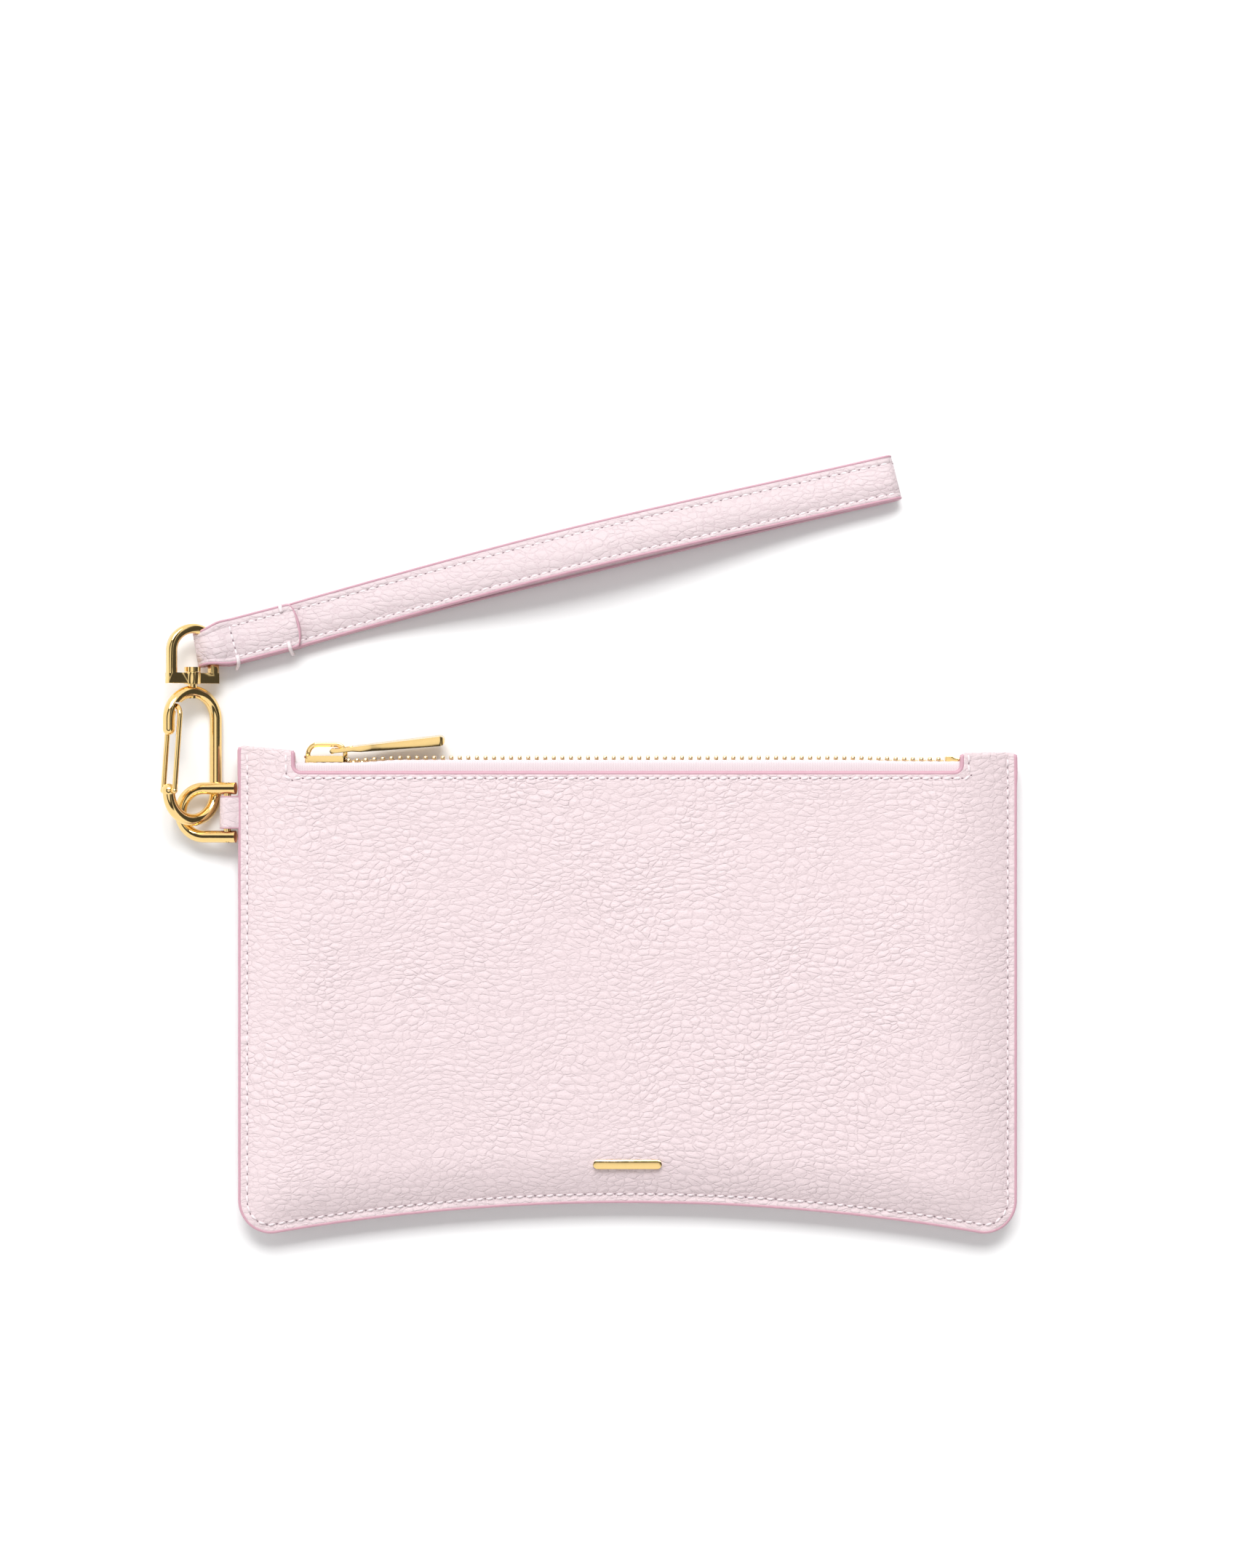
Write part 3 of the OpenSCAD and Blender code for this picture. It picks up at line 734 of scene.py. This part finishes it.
def tooth(x, low_y, high_y, side):
    """A tooth: two legs clamped over the tape's edge and a rounded head that meshes at the middle."""
    middle = (low_y + high_y) / 2
    parts = []
    for y0, y1 in ((middle + 0.15, high_y), (low_y, middle - 0.15)):
        near, far = sorted((MID_Z + side * 0.9, MID_Z + side * 3.1))
        parts.append(rounded_block((x - TOOTH_W / 2, y0, near), (x + TOOTH_W / 2, y1, far)))
    near, far = sorted((MID_Z - side * 0.7, MID_Z + side * 1.5))
    parts.append(rounded_block((x - TOOTH_W / 2, low_y + 0.15, near), (x + TOOTH_W / 2, high_y - 0.15, far)))
    return parts


def make_teeth():
    for side, name, node in ((1, "front_teeth", "zip_teeth_front"), (-1, "back_teeth", "zip_teeth_back")):
        low, high = box_mm(node)
        first = low[0] + TOOTH_W / 2
        count = int(round((high[0] - low[0] - TOOTH_W) / TOOTH_PITCH)) + 1
        parts = []
        for i in range(count):
            x = first + i * TOOTH_PITCH
            lift = zip_lift(x) if side > 0 else BACK_ROW_LIFT
            parts += tooth(x, low[1] + lift, high[1] + lift, side)
        place(mesh_piece(name, *merged(parts), gold_teeth), "pouch", "gold_metal", node)


# ---------------------------------------------------------------- strap

STRAP_W = 12.0
STRAP_T = 1.7
STRAP_TURN = math.radians(13.9)
STRAP_AT = np.array([-91.5, 101.0, 0.047])
LEG_S, LEG_Z = -23.98, 3.75  # the bail's leg
WRAP_R = 2.9
LAP_S = -16.9  # where the lap ends, at the bar seam
FAR_S, FAR_R = 168.4, 1.55  # the far fold
LENS = 7.0  # how far the two runs stand apart
BOW = 1.3
LEAN = math.tan(math.radians(3.5))
ROWS = (0.77, -0.66)  # the seams, as shares of half the width
STRAP_STITCH_SIZE = (2.0, 0.6, 0.44)
BAR_STITCH_SIZE = (1.9, 0.66, 0.5)
BAR_STITCHES = 4
END_ROUND = (0.82, 0.93, 0.985, 1.0)  # the flap's end narrows to a rounded tip
END_PULL = 0.7


def strap_point(s, t, z):
    """Strap coordinates (along, across, up) into the frame."""
    c, n = math.cos(STRAP_TURN), math.sin(STRAP_TURN)
    return STRAP_AT + np.array([s * c - t * n, s * n + t * c, z])


def lens_height(s):
    """How far the upper run stands above the lower one."""
    t = np.clip((s - 8) / (FAR_S - 6 - 8), 0, 1)
    return LENS * np.sin(math.pi * t) ** 2 + 1.4 * t


def strap_route():
    """The centre line from the flap's end round the bail's leg, out, back and under the flap: (along, up)."""
    flap_z, low_z = 2.5 * STRAP_T, 0.5 * STRAP_T
    crown_z = LEG_Z + WRAP_R
    line = [(s, flap_z) for s in (0.0, -0.35, -0.8, -1.5, -2.6)]
    line += [(s, flap_z) for s in np.arange(-4.0, -15.9, -1.2)]
    line += [(s, flap_z + (crown_z - flap_z) * float(smooth((-16.5 - s) / (-16.5 - LEG_S))))
             for s in np.linspace(-16.5, LEG_S, 9)]
    line += [(LEG_S - (WRAP_R + 1) * math.sin(a), LEG_Z + WRAP_R * math.cos(a))
             for a in np.linspace(0, math.pi, 17)[1:-1]]
    line += [(s, low_z) for s in np.linspace(LEG_S, FAR_S, 125)]
    line += [(FAR_S + FAR_R * math.sin(a), 2.4 - FAR_R * math.cos(a))
             for a in np.linspace(0, math.pi, 13)[1:]]
    line += [(s, 1.5 * STRAP_T + float(lens_height(s))) for s in np.linspace(FAR_S - 1.5, 8, 108)]
    line += [(s, 1.5 * STRAP_T) for s in np.linspace(6.5, -15.0, 15)]
    return np.array(line)


def strap_frames():
    """Centres, side and up vectors along the strap, with its bow, roll and narrowing at the bail."""
    route = strap_route()
    t = tangents(route)
    count = len(route)
    fold_at = int(np.argmax(route[:, 0]))
    centres, sides, ups, widths = [], [], [], []
    for i in range(count):
        s, z = route[i]
        out_at = np.clip(s / FAR_S, 0, 1)
        bow = BOW * math.sin(math.pi * out_at ** 0.85) + 0.012 * min(s, 0.0)
        upper = smooth((i - fold_at) / 12 + 0.5) if i > count // 3 else 0.0
        near = 1 - float(smooth((s - 5) / 55))
        far = 1 - near
        roll_low = math.radians(5.0) * near + math.radians(4.0) * far
        roll_up = (math.radians(5.0) * near + math.radians(11.0) * far * math.sin(math.pi * out_at) ** 0.5
                   + math.radians(4.0) * far * float(smooth((s - 120) / 50)))
        roll = roll_low + (roll_up - roll_low) * upper
        roll *= float(smooth((s + 32) / 12))
        top = 5.1 if s < 0 else 2 * STRAP_T + float(lens_height(s))
        lean = LEAN * (z - top)
        lift = 6.0 * math.sin(abs(roll)) * (1.0 - 0.45 * upper)
        across = bow + lean
        centres.append(strap_point(s, across, z + lift))
        turn = STRAP_TURN - math.radians(4.0) * float(smooth((-17 - s) / 8))
        flat = np.array([-math.sin(turn), math.cos(turn), 0.0])
        along = unit(strap_point(*(route[i][0] + t[i][0], across, route[i][1] + t[i][1]))
                     - strap_point(s, across, z))
        side = unit(flat * math.cos(roll) - np.array([0, 0, 1.0]) * math.sin(roll))
        side = unit(side - along * np.dot(side, along))
        up = np.cross(along, side)
        sides.append(side)
        ups.append(up)
        widths.append(STRAP_W / 2 - 1.5 * float(smooth((-19.5 - s) / 7)))
    return np.array(centres), np.array(sides), np.array(ups), np.array(widths), route


def end_shape(widths, i):
    """Half the strap's width at a point, and how far its middle bulges out there."""
    return widths[i] * (END_ROUND[i] if i < len(END_ROUND) else 1.0), END_PULL * float(1 - smooth(i / 8))


def make_strap():
    """The leather band, with a groove under each seam."""
    centres, sides, ups, widths, route = strap_frames()
    count = len(centres)
    half_t = STRAP_T / 2 - 0.03
    groove = ((0.04, 0), (0.014, 0.14), (-0.014, 0.14), (-0.04, 0))
    top = [(0.93, half_t - 0.05)]
    for row_at in ROWS:
        top += [(row_at + shift, half_t - drop) for shift, drop in groove]
    top.append((-0.93, half_t - 0.05))
    profile = [(1.0, 0.25), (0.985, 0.55)] + top + [(-0.985, 0.55), (-1.0, 0.25)]
    profile += [(-1.0, -0.25), (-0.985, -0.55)] + [(-a, -b) for a, b in top] + [(0.985, -0.55), (1.0, -0.25)]
    points, faces = [], []
    for i in range(count):
        half_w, pull = end_shape(widths, i)
        along = unit(centres[min(i + 1, count - 1)] - centres[max(i - 1, 0)])
        for a, b in profile:
            points.append(centres[i] + sides[i] * a * (half_w - 0.05) + ups[i] * b
                          - along * pull * (1 - a * a))
    m = len(profile)
    for i in range(count - 1):
        for k in range(m):
            q = (k + 1) % m
            faces.append((i * m + k, i * m + q, (i + 1) * m + q, (i + 1) * m + k))
    faces.append(tuple(range(m))[::-1])
    faces.append(tuple((count - 1) * m + k for k in range(m)))
    band = mesh_piece("wrist_strap_band", points, faces, strap_leather)
    place(band, "wrist_strap", "strap_leather", "strap_wrap", "strap_lower_run", "strap_upper_run")
    make_strap_edges(centres, sides, ups, widths)
    make_strap_stitches(centres, sides, ups, route)


def make_strap_edges(centres, sides, ups, widths):
    """Painted beads down both cut edges and round the flap's end."""
    count = len(centres)
    path, outs, normals = [], [], []

    def add(i, a, out):
        half_w, pull = end_shape(widths, i)
        along = unit(centres[min(i + 1, count - 1)] - centres[max(i - 1, 0)])
        path.append(centres[i] + sides[i] * a * (half_w - 0.08) - along * pull * (1 - a * a))
        outs.append(out)
        normals.append(ups[i])

    for i in range(count - 1, 0, -1):
        add(i, -1.0, -sides[i])
    back = unit(centres[0] - centres[1])
    for a in np.linspace(-1, 1, 13):
        add(0, a, unit(back * (1.05 - abs(a) ** 3) + sides[0] * a * 0.9))
    for i in range(1, count):
        add(i, 1.0, sides[i])
    bead = ellipse(0.42, STRAP_T / 2 + 0.01, 14, 2.6)
    piece = mesh_piece("wrist_strap_edge_paint", *sweep(path, outs, normals, bead), strap_edge_paint)
    place(piece, "wrist_strap", "strap_leather")


def make_strap_stitches(centres, sides, ups, route):
    """The two seams, the bar seam across the wrap, and the threads that pass over the strap's edges."""
    lengths = np.concatenate([[0], np.cumsum(np.linalg.norm(np.diff(centres, axis=0), axis=1))])
    face = STRAP_T / 2 - 0.09
    ups = -ups

    def at(d, across, lift):
        i = np.interp(d, lengths, np.arange(len(centres)))
        k, f = int(i), i - int(i)
        j = min(k + 1, len(centres) - 1)
        centre = centres[k] * (1 - f) + centres[j] * f
        side, up = unit(sides[k] * (1 - f) + sides[j] * f), unit(ups[k] * (1 - f) + ups[j] * f)
        return centre + side * across + up * lift, unit(centres[j] - centres[k]), side, up

    def row(start, stop, across, pitch):
        n = max(1, int(round((stop - start) / pitch)))
        slant = math.radians(5) * (1 if across > 0 else -1)
        out = []
        for k in range(n):
            p, along, side, up = at(start + (k + 0.5) * (stop - start) / n, across, face)
            out.append((p, along * math.cos(slant) + side * math.sin(slant), up))
        return out

    lap_end = float(lengths[int(np.argmax(route[:, 0] < LAP_S))])
    low_start = float(lengths[int(np.argmax((route[:, 0] > LEG_S + 1) & (np.arange(len(route)) > 30)))])
    total = float(lengths[-1])
    first, bar = 3.0, lap_end + 0.6
    places = []
    inset = 0.72 * (STRAP_W / 2)
    for row_at in ROWS:
        across = -row_at * STRAP_W / 2
        places += row(first, lap_end + 0.3, across, 2.6)
        places += row(low_start + 9, total - 14.0, across, 2.8)
    piece = mesh_piece("wrist_strap_stitches", *capsule_chain(places, *STRAP_STITCH_SIZE), thread)
    place(piece, "wrist_strap", "strap_leather")
    cross = []
    for k in range(BAR_STITCHES):
        p, _, side, up = at(bar, -inset + (k + 0.5) * 2 * inset / BAR_STITCHES, face + 0.1)
        cross.append((p, side, up))
    piece = mesh_piece("wrist_strap_bar_stitches", *capsule_chain(cross, *BAR_STITCH_SIZE), thread)
    place(piece, "wrist_strap", "strap_leather")
    # Dark spots between the strap's stitches: painted shade of the needle holes.
    holes = [((p + q) / 2 - up * 0.04, a, up) for (p, a, up), (q, _, _) in zip(places[:-1], places[1:])
             if np.linalg.norm(p - q) < 4.0]
    holes += [((p + q) / 2 + up * 0.06, a, up) for (p, a, up), (q, _, _) in zip(cross[:-1], cross[1:])]
    made = capsule_chain(holes, *HOLE_SIZE, HOLE_RINGS, HOLE_AROUND)
    place(mesh_piece("wrist_strap_needle_holes", *made, painted_hole_shade), "wrist_strap", "strap_leather")
    loops = []
    for d, sign in ((first, -1), (bar, -1), (first, 1)):
        p, along, side, up = at(d, 0.0, 0.0)
        edge = STRAP_W / 2 + 0.12
        drop = STRAP_T * 3 if sign < 0 else STRAP_T * 1.2
        path = [p + side * sign * inset + up * (face + 0.1),
                p + side * sign * (edge - 1.2) + up * (face + 0.34),
                p + side * sign * (edge - 0.3) + up * (face + 0.30),
                p + side * sign * (edge + 0.26) + up * (face - 0.35)]
        for f in np.linspace(0.15, 1.0, 6):
            out = edge + 0.34 + 0.15 * drop * f * (sign < 0)
            path.append(p + side * sign * out + up * (face - drop * f))
        fine = spaced_line(np.array(path), 0.35)
        t = tangents(fine)
        outs = np.array([unit(along - q * np.dot(along, q)) for q in t])
        normals = np.cross(t, outs)
        loops.append(sweep(fine, outs, normals, ellipse(0.55, 0.42, 10)))
    piece = mesh_piece("wrist_strap_edge_threads", *merged(loops), thread)
    place(piece, "wrist_strap", "strap_leather")


# ---------------------------------------------------------------- side tab

def make_side_tab():
    """A strip folded round the pin, its two plies pressed together where it enters the side seam."""
    low, high = box_mm("side_tab")
    width = (high[1] - low[1]) / 2
    middle = (high[1] + low[1]) / 2
    pin_low, pin_high = box_mm("shackle_pin")
    pin_x, pin_z = (pin_low[0] + pin_high[0]) / 2, (pin_low[2] + pin_high[2]) / 2
    neck_z = 6.0
    ply = 0.44
    around = 1.5
    spread = 5.2
    top = [(high[0], neck_z + ply), (pin_x + spread, neck_z + ply)]
    top += [(pin_x + spread - spread * u, neck_z + ply + (pin_z + around - neck_z - ply) * float(smooth(u)))
            for u in np.linspace(0.15, 1, 8)]
    round_part = [(pin_x - around * 1.12 * math.sin(a), pin_z + around * math.cos(a))
                  for a in np.linspace(0, math.pi, 17)[1:-1]]
    bottom = [(pin_x + spread - spread * u, neck_z - ply + (pin_z - around - neck_z + ply) * float(smooth(u)))
              for u in np.linspace(1, 0.15, 8)]
    bottom += [(pin_x + spread, neck_z - ply), (high[0], neck_z - ply)]
    route = spaced_line(np.array(top + round_part + bottom), 0.35)
    t = tangents(route)
    path = np.column_stack([route[:, 0], np.full(len(route), middle), route[:, 1]])
    sides = np.tile((0, 1.0, 0), (len(route), 1))
    ups = np.column_stack([t[:, 1], np.zeros(len(route)), -t[:, 0]])
    strip = sweep(path, sides, ups, ellipse(width - 0.06, 0.42, 24, 5.0))
    place(mesh_piece("side_tab_leather", *strip, leather), "pouch", "leather", "side_tab")
    beads = []
    for sign in (-1, 1):
        edge = path + sides * sign * (width - 0.10)
        beads.append(sweep(edge, sides, ups, ellipse(0.22, 0.44, 10, 2.4)))
    piece = mesh_piece("side_tab_edge_paint", *merged(beads), edge_paint)
    place(piece, "pouch", "leather")


# ---------------------------------------------------------------- metal

METAL_NODES = ("zip_top_stops", "zip_bottom_stop", "plain_badge", "slider_body", "slider_bail", "pull_tab",
               "shackle", "shackle_pin", "hook_frame", "swivel_pin", "gate_wire", "swivel_bail")
BEVELS = {"plain_badge": 0.35, "slider_body": 0.22, "slider_bail": 0.35, "pull_tab": 0.35,
          "swivel_bail": 0.3, "zip_bottom_stop": 0.25}
WELD_GAP = 0.002


def finish_metal():
    """Gold on every metal CAD node, and rounded edges on those that are cast."""
    for name in METAL_NODES:
        obj = bpy.data.objects[name]
        for slot in obj.material_slots:
            slot.link = "OBJECT"
            slot.material = gold
        mesh = obj.data
        mesh.polygons.foreach_set("use_smooth", [True] * len(mesh.polygons))
        mesh.set_sharp_from_angle(angle=math.radians(32))
        if name in BEVELS:
            weld = obj.modifiers.new("joined_points", "WELD")
            weld.merge_threshold = WELD_GAP * MM
            bevel = obj.modifiers.new("rounded_edges", "BEVEL")
            bevel.width = BEVELS[name] * MM
            bevel.segments = 3
            bevel.limit_method = "ANGLE"
            bevel.angle_limit = math.radians(40)
            bevel.harden_normals = True


# ---------------------------------------------------------------- room, lights and camera

def add_stage():
    """A pale floor under the wallet."""
    mesh = bpy.data.meshes.new("floor")
    half = 4
    mesh.from_pydata([(-half, -half, 0), (half, -half, 0), (half, half, 0), (-half, half, 0)], [],
                     [(0, 1, 2, 3)])
    floor = bpy.data.objects.new("floor", mesh)
    bpy.context.scene.collection.objects.link(floor)
    paper = smooth_material("floor_paper", (0.92, 0.92, 0.92, 1), (0.91, 0.91, 0.91, 1), 0.9, grain=300.0,
                            bump=0.00001, specular=0.1)
    mesh.materials.append(paper)


def add_light(name, place_at, aim, size, power):
    lamp = bpy.data.lights.new(name, "AREA")
    lamp.shape = "RECTANGLE"
    lamp.size, lamp.size_y = size
    lamp.energy = power
    obj = bpy.data.objects.new(name, lamp)
    obj.location = place_at
    obj.rotation_euler = (Vector(aim) - Vector(place_at)).to_track_quat("-Z", "Y").to_euler()
    bpy.context.scene.collection.objects.link(obj)


def add_lights():
    """A soft light from beyond the wallet's top edge, in a bright room for the polished metal to reflect.

    The room has a dark ring high up and a dark side at the right.
    """
    world = bpy.data.worlds.new("studio")
    bpy.context.scene.world = world
    world.use_nodes = True
    tree = world.node_tree
    where = tree.nodes.new("ShaderNodeTexCoord")
    split = linked(tree, "ShaderNodeSeparateXYZ", {"Vector": where.outputs["Generated"]})
    ramp = linked(tree, "ShaderNodeValToRGB", {"Fac": split.outputs["Z"]})
    stops = ramp.color_ramp.elements
    stops[0].position, stops[0].color = 0.0, (0.9, 0.9, 0.9, 1)
    stops[1].position, stops[1].color = 1.0, (0.9, 0.9, 0.9, 1)
    for at, level in ((0.74, 0.9), (0.79, 0.06), (0.91, 0.05), (0.955, 0.8)):
        stop = stops.new(at)
        stop.color = (level, level, level, 1)
    flag = linked(tree, "ShaderNodeMapRange", {"Value": split.outputs["X"], "From Min": 0.62,
                                               "From Max": 0.72, "To Min": 1.0, "To Max": 0.07},
                  interpolation_type="SMOOTHSTEP")
    both = linked(tree, "ShaderNodeMixRGB", {"Fac": 1.0, "Color1": ramp.outputs["Color"],
                                             "Color2": flag.outputs["Result"]}, blend_type="MULTIPLY")
    back = tree.nodes["Background"]
    tree.links.new(both.outputs["Color"], back.inputs["Color"])
    back.inputs["Strength"].default_value = 1.25
    add_light("key", (0.0, 2.1, 2.6), (0, 0.03, 0), (1.9, 1.2), 93.0)


def add_camera():
    data = bpy.data.cameras.new("camera")
    data.sensor_fit = "VERTICAL"
    data.sensor_height = 36
    data.sensor_width = 36
    data.lens = 83.5
    camera = bpy.data.objects.new("camera", data)
    camera.location = (0.0, 0.057, 1.0085)
    bpy.context.scene.collection.objects.link(camera)
    bpy.context.scene.camera = camera


make_panels()
make_linings()
make_slip_pocket()
make_tapes()
make_teeth()
make_side_tab()
make_strap()
finish_metal()
add_stage()
add_lights()
add_camera()
bpy.context.scene.view_settings.view_transform = "Standard"
